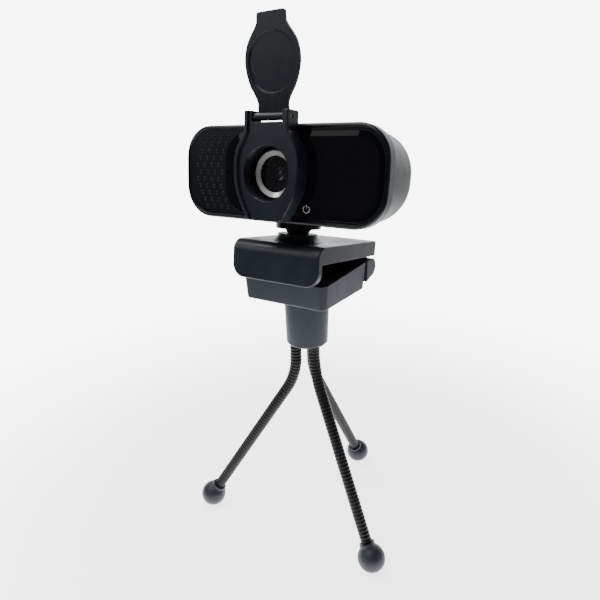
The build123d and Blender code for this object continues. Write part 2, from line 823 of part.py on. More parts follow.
with BuildPart() as front_panel:
    with BuildSketch(face.offset(-panel_floor)):
        with Locations((panel_x, 0)):
            add(panel_outline(0))
    extrude(amount=panel_thickness - panel_bevel_height)
    with BuildSketch(face.offset(-rim_depth)):
        with Locations((panel_x, 0)):
            add(panel_outline(0))
    with BuildSketch(face.offset(panel_front)):
        with Locations((panel_x, 0)):
            add(panel_outline(panel_bevel))
    loft(ruled=True)
    with BuildSketch(face.offset(-panel_floor)):
        Circle(ring_radius + panel_gap)
        with Locations(microphone_point):
            Circle(microphone_hole)
    extrude(amount=panel_thickness, mode=Mode.SUBTRACT)
save(front_panel, "front_panel")

with BuildPart() as microphone:
    with BuildSketch(face.offset(-rim_depth - front_wall)):
        with Locations(microphone_point):
            Circle(microphone_radius)
    extrude(amount=-microphone_height)
save(microphone, "microphone")

with BuildPart() as rear_shell:
    with BuildSketch(face.offset(-head_depth)):
        add(shell_outline(0))
    extrude(amount=head_depth - bezel_depth)
    fillet(rear_shell.edges().group_by(forward_axis)[0], shell_round)
    offset(amount=-shell_wall, openings=rear_shell.faces().sort_by(forward_axis)[-1])
    # tongue that locates the bezel
    tongue_inset = bezel_wall + seam_gap - shell_step
    with BuildSketch(face.offset(-bezel_depth - tongue_height)):
        add(shell_outline(tongue_inset))
        add(shell_outline(tongue_inset + tongue_width), mode=Mode.SUBTRACT)
    extrude(amount=2 * tongue_height)
    with BuildSketch(face.offset(-head_depth + shell_wall / 2)):
        with Locations(*case_points):
            Circle(case_tube_radius)
        with Locations((0, cable_hole_h)):
            Circle(cable_boss_radius)
    extrude(amount=shell_wall / 2 + cable_boss_length)
    with BuildSketch(face.offset(-head_depth + shell_wall)):
        with Locations(*case_points):
            Circle(case_tube_radius)
    extrude(amount=head_depth - bezel_depth - shell_wall)
    with BuildSketch(face.offset(-head_depth)):
        with Locations(*case_points):
            Circle(case_screw_shank + screw_gap)
    extrude(amount=head_depth - bezel_depth, mode=Mode.SUBTRACT)
    with BuildSketch(face.offset(-head_depth)):
        with Locations(*case_points):
            Circle(case_screw_head + screw_gap)
    extrude(amount=case_counterbore, mode=Mode.SUBTRACT)
    with BuildSketch(face.offset(-head_depth)):
        with Locations((0, cable_hole_h)):
            Circle(cable_hole_radius)
    extrude(amount=shell_wall + cable_boss_length + 1, mode=Mode.SUBTRACT)
    # socket for the ball, moulded into the underside
    collar_top = shell_bottom + shell_wall / 2
    with BuildSketch(socket_level.offset(-socket_rim)):
        Circle(socket_radius)
    extrude(amount=socket_rim + collar_top)
    with BuildSketch(socket_level.offset(collar_top - 0.1)):
        Circle(socket_inner + 0.9)
    extrude(amount=socket_inner + socket_roof - collar_top + 0.1)
    with Locations(ball_centre):
        Sphere(socket_inner, mode=Mode.SUBTRACT)
save(rear_shell, "rear_shell")

with BuildPart() as case_screws:
    for point in case_points:
        with BuildSketch(face.offset(-head_depth + case_counterbore)):
            with Locations(point):
                Circle(case_screw_head)
        extrude(amount=-case_screw_head_height)
        with BuildSketch(face.offset(-head_depth + case_counterbore)):
            with Locations(point):
                Circle(case_screw_shank)
        extrude(amount=head_depth - case_counterbore - bezel_depth + screw_bite - 0.3)
save(case_screws, "case_screws")

with BuildPart() as main_board:
    with BuildSketch(face.offset(-board_front)):
        RectangleRounded(board_width, board_height, 2.0)
        with Locations((0, -board_height / 2)):
            Rectangle(board_notch_width, 2 * board_notch_height, mode=Mode.SUBTRACT)
        with Locations(*board_points):
            Circle(board_screw_shank + screw_gap, mode=Mode.SUBTRACT)
    extrude(amount=-board_thickness)
save(main_board, "main_board")

board_rear = board_front + board_thickness

with BuildPart() as board_screws:
    for point in board_points:
        with BuildSketch(face.offset(-board_rear)):
            with Locations(point):
                Circle(board_screw_head)
        extrude(amount=-board_screw_head_height)
        with BuildSketch(face.offset(-board_rear)):
            with Locations(point):
                Circle(board_screw_shank)
        extrude(amount=board_thickness + board_screw_length - 0.5)
save(board_screws, "board_screws")


def chip(size, point, front):
    # a block that lies against the board: width, height, thickness
    with BuildPart() as block:
        with BuildSketch(face.offset(front)):
            with Locations(point):
                Rectangle(size[0], size[1])
        extrude(amount=size[2])
    return block


save(chip(led_size, symbol_point, -board_front), "status_led")
save(chip(header_size, header_point, -board_rear - header_size[2]), "cable_header")
save(chip(chip_size, chip_point, -board_rear - chip_size[2]), "image_processor")
save(chip(sensor_size, (0, 0), -board_front), "image_sensor")

with BuildPart() as light_pipe:
    with BuildSketch(face.offset(-panel_floor - 0.05)):
        with Locations(symbol_point):
            Circle(pipe_radius)
    extrude(amount=-(board_front - panel_floor - led_size[2] - 0.25))
save(light_pipe, "light_pipe")

# ================= lens =================
with BuildPart() as lens_holder:
    with BuildSketch(face.offset(-board_front)):
        RectangleRounded(holder_size, holder_size, 1.0)
    extrude(amount=board_front + holder_front)
    with BuildSketch(face.offset(barrel_rear - lens_gap)):
        Circle(barrel_thread_radius + lens_gap)
    extrude(amount=holder_front - barrel_rear + 1, mode=Mode.SUBTRACT)
    with BuildSketch(face.offset(barrel_rear - lens_gap - filter_thickness)):
        Circle(filter_radius)
    extrude(amount=1, mode=Mode.SUBTRACT)
    with BuildSketch(face.offset(-board_front)):
        Rectangle(sensor_size[0] + 0.8, sensor_size[1] + 0.8)
    extrude(amount=board_front + barrel_rear, mode=Mode.SUBTRACT)
save(lens_holder, "lens_holder")

with BuildPart() as infrared_filter:
    with BuildSketch(face.offset(barrel_rear - lens_gap - filter_thickness)):
        Circle(filter_radius)
    extrude(amount=filter_thickness)
save(infrared_filter, "infrared_filter")

with BuildPart() as lens_barrel:
    with BuildSketch(face.offset(barrel_rear)):
        Circle(barrel_thread_radius)
    extrude(amount=barrel_step - barrel_rear)
    with BuildSketch(face.offset(barrel_step)):
        Circle(barrel_head_radius)
    extrude(amount=barrel_front - barrel_step)
    with BuildSketch(face.offset(barrel_rear)):
        Circle(barrel_bore)
    extrude(amount=barrel_front - barrel_rear, mode=Mode.SUBTRACT)
    # stepped light baffle in front of the glass
    for step in range(4):
        depth = barrel_mouth_depth * (4 - step) / 4
        mouth = barrel_bore + (barrel_mouth - barrel_bore) * (step + 1) / 4
        with BuildSketch(face.offset(barrel_front)):
            Circle(mouth)
        extrude(amount=-depth, mode=Mode.SUBTRACT)
save(lens_barrel, "lens_barrel")

lens_seat = barrel_front - barrel_mouth_depth - 1.4

with BuildPart() as front_lens:
    with BuildSketch(face.offset(lens_seat)):
        Circle(front_lens_radius)
    extrude(amount=0.9)
    with Locations(face.from_local_coords((0, 0, lens_seat + 0.9 - 4.6))):
        Sphere(math.hypot(front_lens_radius - 0.2, 4.6))
    with BuildSketch(face.offset(lens_seat)):
        Circle(front_lens_radius)
    extrude(amount=4.0, mode=Mode.INTERSECT)
save(front_lens, "front_lens")

with BuildPart() as rear_lens:
    with BuildSketch(face.offset(barrel_rear + 0.3)):
        Circle(barrel_bore - lens_gap)
    extrude(amount=1.6)
save(rear_lens, "rear_lens")

with BuildPart() as lens_window:
    with BuildSketch(face.offset(window_front - window_thickness)):
        Circle(window_radius)
    extrude(amount=window_thickness)
save(lens_window, "lens_window")

ring_section = Plane(origin=face_centre, x_dir=(1, 0, 0), z_dir=(0, -upward[1], -upward[2]))

with BuildPart() as lens_ring:
    with BuildSketch(ring_section):
        with BuildLine():
            Polyline(
                (window_radius + lens_gap, -panel_floor),
                (ring_radius, -panel_floor),
                (ring_radius, ring_front - 0.4),
                (ring_radius - 0.4, ring_front),
                (ring_inner, window_front + 0.25),
                (ring_inner, window_front),
                (window_radius + lens_gap, window_front),
                close=True,
            )
        make_face()
    revolve(axis=forward_axis)
save(lens_ring, "lens_ring")

# ================= privacy cover =================
cover_back = panel_front + tape_thickness
cover_floor = cover_back + cover_floor_depth


def cover_outline(inset):
    # bottle shape: straight ears, barrel sides, narrower foot
    ear = cover_ear_half - inset
    foot = cover_bottom_half - inset
    right = [(half - inset, h) for h, half in cover_side]
    with BuildSketch(mode=Mode.PRIVATE) as outline:
        with BuildLine():
            Line((-ear, cover_ear_top), (ear, cover_ear_top))
            Line((ear, cover_ear_top), right[0])
            Spline(*right)
            Line(right[-1], (foot, cover_bottom))
            Line((foot, cover_bottom), (-foot, cover_bottom))
            Line((-foot, cover_bottom), (-right[-1][0], right[-1][1]))
            Spline(*[(-x, h) for x, h in reversed(right)])
            Line((-right[0][0], right[0][1]), (-ear, cover_ear_top))
        make_face()
    return outline.sketch


flap_axis_point = Vector(face.from_local_coords((0, flap_axis_h, flap_axis_d)))
flap_side = Plane(origin=flap_axis_point, x_dir=forward, z_dir=(-1, 0, 0))

with BuildPart() as cover_frame:
    with BuildSketch(face.offset(cover_back)):
        add(cover_outline(0))
    extrude(amount=cover_depth)
    fillet(cover_frame.edges().group_by(forward_axis)[-1], cover_round)
    with BuildSketch(face.offset(cover_floor)):
        add(cover_outline(rail_width))
        with Locations((0, cover_bottom)):
            Rectangle(2 * (cover_bottom_half - rail_width), 3)
    extrude(amount=cover_depth, mode=Mode.SUBTRACT)
    with BuildSketch(face.offset(cover_back)):
        Circle(cover_hole_radius)
        with Locations((0, ear_gap_bottom + cover_depth)):
            Rectangle(2 * ear_gap_half, 2 * cover_depth)
    extrude(amount=cover_depth, mode=Mode.SUBTRACT)
    with BuildSketch(flap_side):
        Circle(flap_pin_radius)
    extrude(amount=cover_ear_half + 1, both=True, mode=Mode.SUBTRACT)
save(cover_frame, "cover_frame")

with BuildPart() as cover_tape:
    with BuildSketch(face.offset(panel_front)):
        add(cover_outline(panel_bevel))
        Circle(cover_hole_radius + 0.2, mode=Mode.SUBTRACT)
        with Locations((0, cover_ear_top), (0, cover_bottom)):
            Rectangle(2 * cover_ear_half, 2 * (cover_ear_top - panel_height / 2 + panel_bevel + 0.6),
                      mode=Mode.SUBTRACT)
    extrude(amount=tape_thickness)
save(cover_tape, "cover_tape")

with BuildPart() as flap_pin:
    with BuildSketch(flap_side):
        Circle(flap_pin_radius)
    extrude(amount=cover_ear_half - 0.3, both=True)
save(flap_pin, "flap_pin")

# The flap stands open, pointing up. Its frame sits on the hinge axis and leans forward.
open_forward, open_upward = tilted(head_pitch - flap_lean)
flap = Plane(origin=flap_axis_point, x_dir=(1, 0, 0), z_dir=open_forward)
barrel_side = Plane(origin=flap_axis_point, x_dir=open_forward, z_dir=(-1, 0, 0))
flap_inner = flap_axis_d - cover_floor - flap_seat_gap      # the side that will lie on the plate

with BuildPart() as cover_flap:
    with BuildSketch(flap.offset(flap_inner)) as flap_outline:
        right = [(half, h) for h, half in flap_side_points]
        with BuildLine():
            Line((-flap_neck_half, 0), (flap_neck_half, 0))
            Line((flap_neck_half, 0), right[0])
            Spline(*right)
            Line(right[-1], (flap_tip_half, flap_length))
            Line((flap_tip_half, flap_length), (-flap_tip_half, flap_length))
            Line((-flap_tip_half, flap_length), (-right[-1][0], right[-1][1]))
            Spline(*[(-x, h) for x, h in reversed(right)])
            Line((-right[0][0], right[0][1]), (-flap_neck_half, 0))
        make_face()
        fillet(flap_outline.vertices().group_by(Axis.Y)[-1], 0.8)
    extrude(amount=-flap_thickness)
    with BuildSketch(flap.offset(flap_inner)):
        with Locations((0, flap_centre)):
            Circle(dish_radius)
    extrude(amount=-dish_depth, taper=30, mode=Mode.SUBTRACT)
    with BuildSketch(barrel_side):
        Circle(flap_barrel_radius)
        with Locations(((flap_inner - flap_thickness) / 2, 0)):
            Rectangle(flap_thickness - flap_inner, 2 * flap_barrel_radius)
    extrude(amount=flap_neck_half, both=True)
    with BuildSketch(barrel_side):
        Circle(flap_pin_radius + flap_pin_fit)
    extrude(amount=flap_neck_half, both=True, mode=Mode.SUBTRACT)
save(cover_flap, "cover_flap")
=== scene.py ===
import bpy, bmesh, json, math
from mathutils import Matrix, Vector


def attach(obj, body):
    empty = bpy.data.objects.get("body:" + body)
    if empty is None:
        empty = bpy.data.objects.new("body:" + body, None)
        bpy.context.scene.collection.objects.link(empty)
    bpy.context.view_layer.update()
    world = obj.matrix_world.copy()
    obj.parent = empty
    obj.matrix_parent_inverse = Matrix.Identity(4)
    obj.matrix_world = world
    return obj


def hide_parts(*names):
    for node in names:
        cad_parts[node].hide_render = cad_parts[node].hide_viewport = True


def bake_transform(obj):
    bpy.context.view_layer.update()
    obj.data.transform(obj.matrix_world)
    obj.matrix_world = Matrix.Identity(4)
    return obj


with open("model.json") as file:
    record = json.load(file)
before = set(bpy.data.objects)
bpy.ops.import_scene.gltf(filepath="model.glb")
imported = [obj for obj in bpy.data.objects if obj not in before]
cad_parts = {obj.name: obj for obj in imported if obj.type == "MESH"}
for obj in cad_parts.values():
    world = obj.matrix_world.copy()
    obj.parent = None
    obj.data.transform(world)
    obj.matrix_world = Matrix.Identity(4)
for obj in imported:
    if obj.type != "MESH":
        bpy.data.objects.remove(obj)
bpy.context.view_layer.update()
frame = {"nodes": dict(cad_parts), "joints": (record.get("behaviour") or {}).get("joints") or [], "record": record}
joints = {j["name"]: j for j in frame["joints"]}
nodes = frame["nodes"]

headLook = {
    "faceForward": 0.0181,      # face plane from the neck ball, in metres
    "faceUp": 0.0192,           # middle of the face above the ball, in metres
    "screwX": 33,               # case screws, in millimetres
    "screwH": 7.5,
    "screwBack": 20.6,          # their heads behind the face
    "crossSize": 1.3,
}

# Frames of the moving parts, read from the joints
jawOrigin = Vector(joints["jaw_hinge"]["pos_m"])
forwardAxis = Vector(joints["head_roll"]["axis"]).normalized()
rightAxis = Vector((1, 0, 0))
upAxis = forwardAxis.cross(rightAxis)
ballPoint = Vector(joints["head_tilt"]["pos_m"])
facePoint = ballPoint + forwardAxis * headLook["faceForward"] + upAxis * headLook["faceUp"]
flapPoint = Vector(joints["flap_hinge"]["pos_m"])
flapLean = math.radians(180 - joints["flap_hinge"]["range_deg"][1])
flapForward = forwardAxis * math.cos(flapLean) - upAxis * math.sin(flapLean)
flapUp = upAxis * math.cos(flapLean) + forwardAxis * math.sin(flapLean)
jawUp = Vector(joints["head_pan"]["axis"]).normalized()
jawForward = rightAxis.cross(jawUp)


def facePlace(x, h, d):
    # Millimetres across, up and out of the head's face
    return facePoint + (rightAxis * x + upAxis * h + forwardAxis * d) * 0.001


def axesMatrix(origin, xAxis, yAxis, zAxis):
    m = Matrix.Identity(4)
    for i, axis in enumerate((xAxis, yAxis, zAxis)):
        m.col[i][0:3] = axis
    m.col[3][0:3] = origin
    return m


def newGroup(name, inputs, outputs):
    group = bpy.data.node_groups.new(name, "ShaderNodeTree")
    for label, kind, value in inputs:
        socket = group.interface.new_socket(label, in_out="INPUT", socket_type=kind)
        if value is not None:
            socket.default_value = value
    for label, kind in outputs:
        group.interface.new_socket(label, in_out="OUTPUT", socket_type=kind)
    start = group.nodes.new("NodeGroupInput")
    end = group.nodes.new("NodeGroupOutput")
    return group, start, end


def addNode(tree, kind, **values):
    node = tree.nodes.new(kind)
    for key, value in values.items():
        if hasattr(node, key):
            setattr(node, key, value)
        else:
            node.inputs[key.replace("_", " ")].default_value = value
    return node


def buildGrain():
    # Fine moulded texture with slow patches of handling wear
    group, start, end = newGroup(
        "surfaceGrain",
        [("Grain Size", "NodeSocketFloat", 3000.0), ("Roughness Low", "NodeSocketFloat", 0.35),
         ("Roughness High", "NodeSocketFloat", 0.5)],
        [("Height", "NodeSocketFloat"), ("Roughness", "NodeSocketFloat"), ("Patches", "NodeSocketFloat")])
    coord = addNode(group, "ShaderNodeTexCoord")
    grain = addNode(group, "ShaderNodeTexNoise", Detail=2.0, Roughness=0.6)
    patches = addNode(group, "ShaderNodeTexNoise", Scale=90.0, Detail=3.0, Roughness=0.55)
    spread = addNode(group, "ShaderNodeMapRange", From_Min=0.35, From_Max=0.65)
    link = group.links.new
    link(coord.outputs["Object"], grain.inputs["Vector"])
    link(coord.outputs["Object"], patches.inputs["Vector"])
    link(start.outputs["Grain Size"], grain.inputs["Scale"])
    link(patches.outputs["Fac"], spread.inputs["Value"])
    link(start.outputs["Roughness Low"], spread.inputs["To Min"])
    link(start.outputs["Roughness High"], spread.inputs["To Max"])
    link(grain.outputs["Fac"], end.inputs["Height"])
    link(spread.outputs["Result"], end.inputs["Roughness"])
    link(patches.outputs["Fac"], end.inputs["Patches"])
    return group


def buildSmudge():
    # Faint wiped marks and dust specks for polished surfaces
    group, start, end = newGroup(
        "polishSmudge",
        [("Roughness Clean", "NodeSocketFloat", 0.03), ("Roughness Smudged", "NodeSocketFloat", 0.12)],
        [("Roughness", "NodeSocketFloat"), ("Specks", "NodeSocketFloat")])
    coord = addNode(group, "ShaderNodeTexCoord")
    stretch = addNode(group, "ShaderNodeMapping")
    stretch.inputs["Scale"].default_value = (1.0, 1.0, 2.6)
    stretch.inputs["Rotation"].default_value = (0.0, 0.5, 0.3)
    wipes = addNode(group, "ShaderNodeTexNoise", Scale=60.0, Detail=5.0, Roughness=0.65)
    curve = addNode(group, "ShaderNodeMapRange", From_Min=0.5, From_Max=0.8)
    cells = addNode(group, "ShaderNodeTexVoronoi", Scale=420.0)
    specks = addNode(group, "ShaderNodeMapRange", From_Min=0.03, From_Max=0.06, To_Min=1.0, To_Max=0.0)
    link = group.links.new
    link(coord.outputs["Object"], stretch.inputs["Vector"])
    link(stretch.outputs["Vector"], wipes.inputs["Vector"])
    link(coord.outputs["Object"], cells.inputs["Vector"])
    link(wipes.outputs["Fac"], curve.inputs["Value"])
    link(start.outputs["Roughness Clean"], curve.inputs["To Min"])
    link(start.outputs["Roughness Smudged"], curve.inputs["To Max"])
    link(cells.outputs["Distance"], specks.inputs["Value"])
    link(curve.outputs["Result"], end.inputs["Roughness"])
    link(specks.outputs["Result"], end.inputs["Specks"])
    return group


def buildBevel():
    # 1 on the flat front of a panel, 0 on its bevelled border
    group, start, end = newGroup("frontMask", [("Front Axis", "NodeSocketVector", (0.0, -1.0, 0.0))],
                                 [("Front", "NodeSocketFloat")])
    coord = addNode(group, "ShaderNodeTexCoord")
    facing = addNode(group, "ShaderNodeVectorMath", operation="DOT_PRODUCT")
    mask = addNode(group, "ShaderNodeMapRange", From_Min=0.985, From_Max=0.998)
    group.links.new(coord.outputs["Normal"], facing.inputs[0])
    group.links.new(start.outputs["Front Axis"], facing.inputs[1])
    group.links.new(facing.outputs["Value"], mask.inputs["Value"])
    group.links.new(mask.outputs["Result"], end.inputs["Front"])
    return group


grainGroup = buildGrain()
bevelGroup = buildBevel()
smudgeGroup = buildSmudge()


def newMaterial(name):
    material = bpy.data.materials.new(name)
    material.use_nodes = True
    tree = material.node_tree
    return material, tree, tree.nodes["Principled BSDF"]


def grainMaterial(name, look):
    # Moulded plastic, rubber or metal: colour with slow variation, grain in the bump
    material, tree, shader = newMaterial(name)
    grain = addNode(tree, "ShaderNodeGroup", node_tree=grainGroup)
    grain.inputs["Grain Size"].default_value = look["grainSize"]
    grain.inputs["Roughness Low"].default_value = look["roughness"][0]
    grain.inputs["Roughness High"].default_value = look["roughness"][1]
    tint = addNode(tree, "ShaderNodeMix", data_type="RGBA")
    tint.inputs[6].default_value = (*look["color"], 1)
    tint.inputs[7].default_value = (*[min(1, c * look.get("variation", 1.25)) for c in look["color"]], 1)
    bump = addNode(tree, "ShaderNodeBump", Strength=look["bump"], Distance=0.0001)
    tree.links.new(grain.outputs["Patches"], tint.inputs[0])
    tree.links.new(tint.outputs[2], shader.inputs["Base Color"])
    tree.links.new(grain.outputs["Roughness"], shader.inputs["Roughness"])
    tree.links.new(grain.outputs["Height"], bump.inputs["Height"])
    if "edge" in look:      # worn edges catch the light
        edge = addNode(tree, "ShaderNodeBevel", Radius=look["edge"])
        tree.links.new(edge.outputs["Normal"], bump.inputs["Normal"])
    tree.links.new(bump.outputs["Normal"], shader.inputs["Normal"])
    shader.inputs["Metallic"].default_value = look.get("metallic", 0.0)
    shader.inputs["Specular IOR Level"].default_value = look.get("specular", 0.5)
    shader.inputs["Coat Weight"].default_value = look.get("coat", 0.0)
    shader.inputs["Coat Roughness"].default_value = look.get("coatRoughness", 0.1)
    return material


def polishMaterial(name, look):
    material, tree, shader = newMaterial(name)
    smudge = addNode(tree, "ShaderNodeGroup", node_tree=smudgeGroup)
    smudge.inputs["Roughness Clean"].default_value = look["roughness"][0]
    smudge.inputs["Roughness Smudged"].default_value = look["roughness"][1]
    tint = addNode(tree, "ShaderNodeMix", data_type="RGBA")
    tint.inputs[6].default_value = (*look["color"], 1)
    tint.inputs[7].default_value = (*[min(1, c * 1.15 + look.get("dust", 0.01)) for c in look["color"]], 1)
    tree.links.new(smudge.outputs["Specks"], tint.inputs[0])
    tree.links.new(tint.outputs[2], shader.inputs["Base Color"])
    tree.links.new(smudge.outputs["Roughness"], shader.inputs["Roughness"])
    shader.inputs["Metallic"].default_value = look.get("metallic", 0.0)
    shader.inputs["Coat Weight"].default_value = look.get("coat", 0.0)
    shader.inputs["Coat Roughness"].default_value = 0.03
    shader.inputs["Transmission Weight"].default_value = look.get("transmission", 0.0)
    shader.inputs["IOR"].default_value = look.get("ior", 1.5)
    return material


looks = {
    "bodyBlack": dict(color=(0.007, 0.0085, 0.0115), roughness=(0.30, 0.40),
        grainSize=5200.0, bump=0.1, specular=0.36, edge=0.0003),
    # Darker, less glossy copy of bodyBlack for the front bezel: its darker colour is painted shade
    "bezelShadedBlack": dict(color=(0.0045, 0.0062, 0.0085), roughness=(0.28, 0.36),
        grainSize=5200.0, bump=0.08, specular=0.22, edge=0.0003),
    "clipBlack": dict(color=(0.0125, 0.0165, 0.022), roughness=(0.30, 0.42),
        grainSize=4600.0, bump=0.1, specular=0.36, edge=0.0003),
    "coverBlack": dict(color=(0.010, 0.0132, 0.018), roughness=(0.28, 0.40),
        grainSize=4800.0, bump=0.1, specular=0.36, edge=0.0003),
    "hubBlack": dict(color=(0.021, 0.027, 0.036), roughness=(0.40, 0.52),
        grainSize=4200.0, bump=0.15, specular=0.34, edge=0.0003),
    "footRubber": dict(color=(0.012, 0.015, 0.022), roughness=(0.40, 0.55),
        grainSize=3600.0, bump=0.2, specular=0.34),
    "legRubber": dict(color=(0.0028, 0.0036, 0.005), roughness=(0.32, 0.45),
        grainSize=3600.0, bump=0.15, specular=0.2),
    "padRubber": dict(color=(0.006, 0.007, 0.009), roughness=(0.62, 0.8),
        grainSize=2600.0, bump=0.5, specular=0.3),
    "blackPart": dict(color=(0.003, 0.003, 0.004), roughness=(0.5, 0.65),
        grainSize=4200.0, bump=0.15, specular=0.3),
    "steel": dict(color=(0.52, 0.53, 0.55), roughness=(0.22, 0.36),
        grainSize=2600.0, bump=0.1, metallic=1.0),
    "brass": dict(color=(0.62, 0.44, 0.18), roughness=(0.22, 0.34),
        grainSize=2600.0, bump=0.1, metallic=1.0),
    "board": dict(color=(0.012, 0.09, 0.035), roughness=(0.25, 0.4),
        grainSize=1800.0, bump=0.2, coat=0.4),
    "whitePart": dict(color=(0.7, 0.7, 0.66), roughness=(0.4, 0.5), grainSize=3600.0, bump=0.1),
    "liner": dict(color=(0.62, 0.62, 0.6), roughness=(0.3, 0.42), grainSize=3600.0, bump=0.1),
    "tape": dict(color=(0.02, 0.02, 0.02), roughness=(0.7, 0.85), grainSize=1800.0, bump=0.6),
}
polishLooks = {
    "panelGloss": dict(color=(0.0035, 0.0035, 0.005), roughness=(0.03, 0.08), coat=1.0, dust=0.02),
    "chrome": dict(color=(0.92, 0.91, 0.9), roughness=(0.12, 0.2), metallic=0.55),
    "lensCover": dict(color=(0.9, 0.88, 0.95), roughness=(0.0, 0.03), transmission=1.0, ior=1.46),
    "lensGlass": dict(color=(0.85, 0.82, 0.95), roughness=(0.0, 0.02), transmission=1.0, ior=1.6),
    "filterGlass": dict(color=(0.35, 0.75, 0.8), roughness=(0.0, 0.02), transmission=1.0),
    "clearPart": dict(color=(0.9, 0.93, 0.95), roughness=(0.02, 0.06), transmission=1.0),
}
materials = {name: grainMaterial(name, look) for name, look in looks.items()}
materials.update({name: polishMaterial(name, look) for name, look in polishLooks.items()})

# The panel's coat is full on its front and thin on its bevel
panelLook = {"coatBevel": 0.08, "coatFront": 0.4, "specular": 0.1}
panelTree = materials["panelGloss"].node_tree
panelFront = addNode(panelTree, "ShaderNodeGroup", node_tree=bevelGroup)
panelFront.inputs["Front Axis"].default_value = forwardAxis
panelShine = addNode(panelTree, "ShaderNodeMapRange",
                     To_Min=panelLook["coatBevel"], To_Max=panelLook["coatFront"])
panelTree.links.new(panelFront.outputs["Front"], panelShine.inputs["Value"])
panelShader = panelTree.nodes["Principled BSDF"]
panelTree.links.new(panelShine.outputs["Result"], panelShader.inputs["Coat Weight"])
panelShader.inputs["Specular IOR Level"].default_value = panelLook["specular"]
print("materials ready")

slotLooks = {
    "body_black": "bodyBlack", "clip_black": "clipBlack", "cover_black": "coverBlack",
    "panel_gloss": "panelGloss", "chrome": "chrome", "lens_cover": "lensCover",
    "lens_glass": "lensGlass", "filter_glass": "filterGlass", "black_part": "blackPart",
    "pad_rubber": "padRubber", "foot_rubber": "footRubber", "leg_rubber": "legRubber",
    "tape": "tape", "steel": "steel", "brass": "brass", "board": "board",
    "white_part": "whitePart", "liner": "liner", "clear_part": "clearPart",
}
nodeSlots = {s["node"]: s["material_slot"] for s in frame["record"]["subparts"]}
for nodeName, cadNode in nodes.items():
    cadNode.data.materials.clear()
    cadNode.data.materials.append(materials[slotLooks[nodeSlots[nodeName]]])
for nodeName in ("tripod_hub", "lower_jaw"):
    nodes[nodeName].data.materials[0] = materials["hubBlack"]
# The bezel takes the darker copy of the body black, with painted shade in its colour
nodes["front_bezel"].data.materials[0] = materials["bezelShadedBlack"]


def finishPiece(piece, body, look):
    piece.data.materials.append(materials[look])
    if body:
        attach(piece, body)
    return piece


def meshObject(name, mesh):
    piece = bpy.data.objects.new(name, mesh)
    bpy.context.scene.collection.objects.link(piece)
    return piece


legLook = {
    "hubUnderside": 0.09315,
    "socketDepth": 0.0095,
    "footHeight": 0.00585,   # centre of the ball foot above the floor
    "footGrip": 0.0024,      # how far the leg stops short of the foot's centre
    "taperLength": 0.1,      # the leg thins down to its foot over this length
    "ribPitch": 0.0016,      # from rib to rib along the leg
    "ribDepth": 0.00032,
    "radiusTop": 0.0027,
    "radiusFoot": 0.00255,
    "sides": 40,
    "ringsPerRib": 8,
}


def ribbedTube(name, points, tangents, lengths, side):
    # Rings across the path; side is the constant normal of the path's plane
    mesh = bpy.data.meshes.new(name)
    build = bmesh.new()
    sides = legLook["sides"]
    rings = []
    for point, tangent, along in zip(points, tangents, lengths):
        across = side.cross(tangent).normalized()
        phase = (along / legLook["ribPitch"]) % 1.0
        rib = math.sqrt(max(0.0, 1 - (2 * phase - 1) ** 2))     # round ribs with sharp grooves
        share = min(1.0, along / legLook["taperLength"])
        outer = legLook["radiusTop"] * (1 - share) + legLook["radiusFoot"] * share
        radius = outer - legLook["ribDepth"] * (1 - rib)
        ring = []
        for k in range(sides):
            angle = 2 * math.pi * k / sides
            ring.append(build.verts.new(point + (side * math.cos(angle) + across * math.sin(angle)) * radius))
        rings.append(ring)
    for a, b in zip(rings, rings[1:]):
        for k in range(sides):
            build.faces.new((a[k], a[(k + 1) % sides], b[(k + 1) % sides], b[k]))
    build.faces.new(rings[0][::-1])
    build.faces.new(rings[-1])
    bmesh.ops.recalc_face_normals(build, faces=build.faces)
    for f in build.faces:
        f.smooth = len(f.verts) == 4
    build.to_mesh(mesh)
    build.free()
    return meshObject(name, mesh)


legShapes = {     # stub below the hub, bend radius, both in metres, and bend angle in degrees
    "left": (0.008, 0.030, 32.5),
    "right": (0.002, 0.040, 30.0),
    "rear": (0.008, 0.030, 31.5),
}
hubUnderside = legLook["hubUnderside"]
socketDepth = legLook["socketDepth"]
hubCentre = sum((Vector(j["pos_m"]) for n, j in joints.items() if n.endswith("leg_bend")), Vector()) / 3

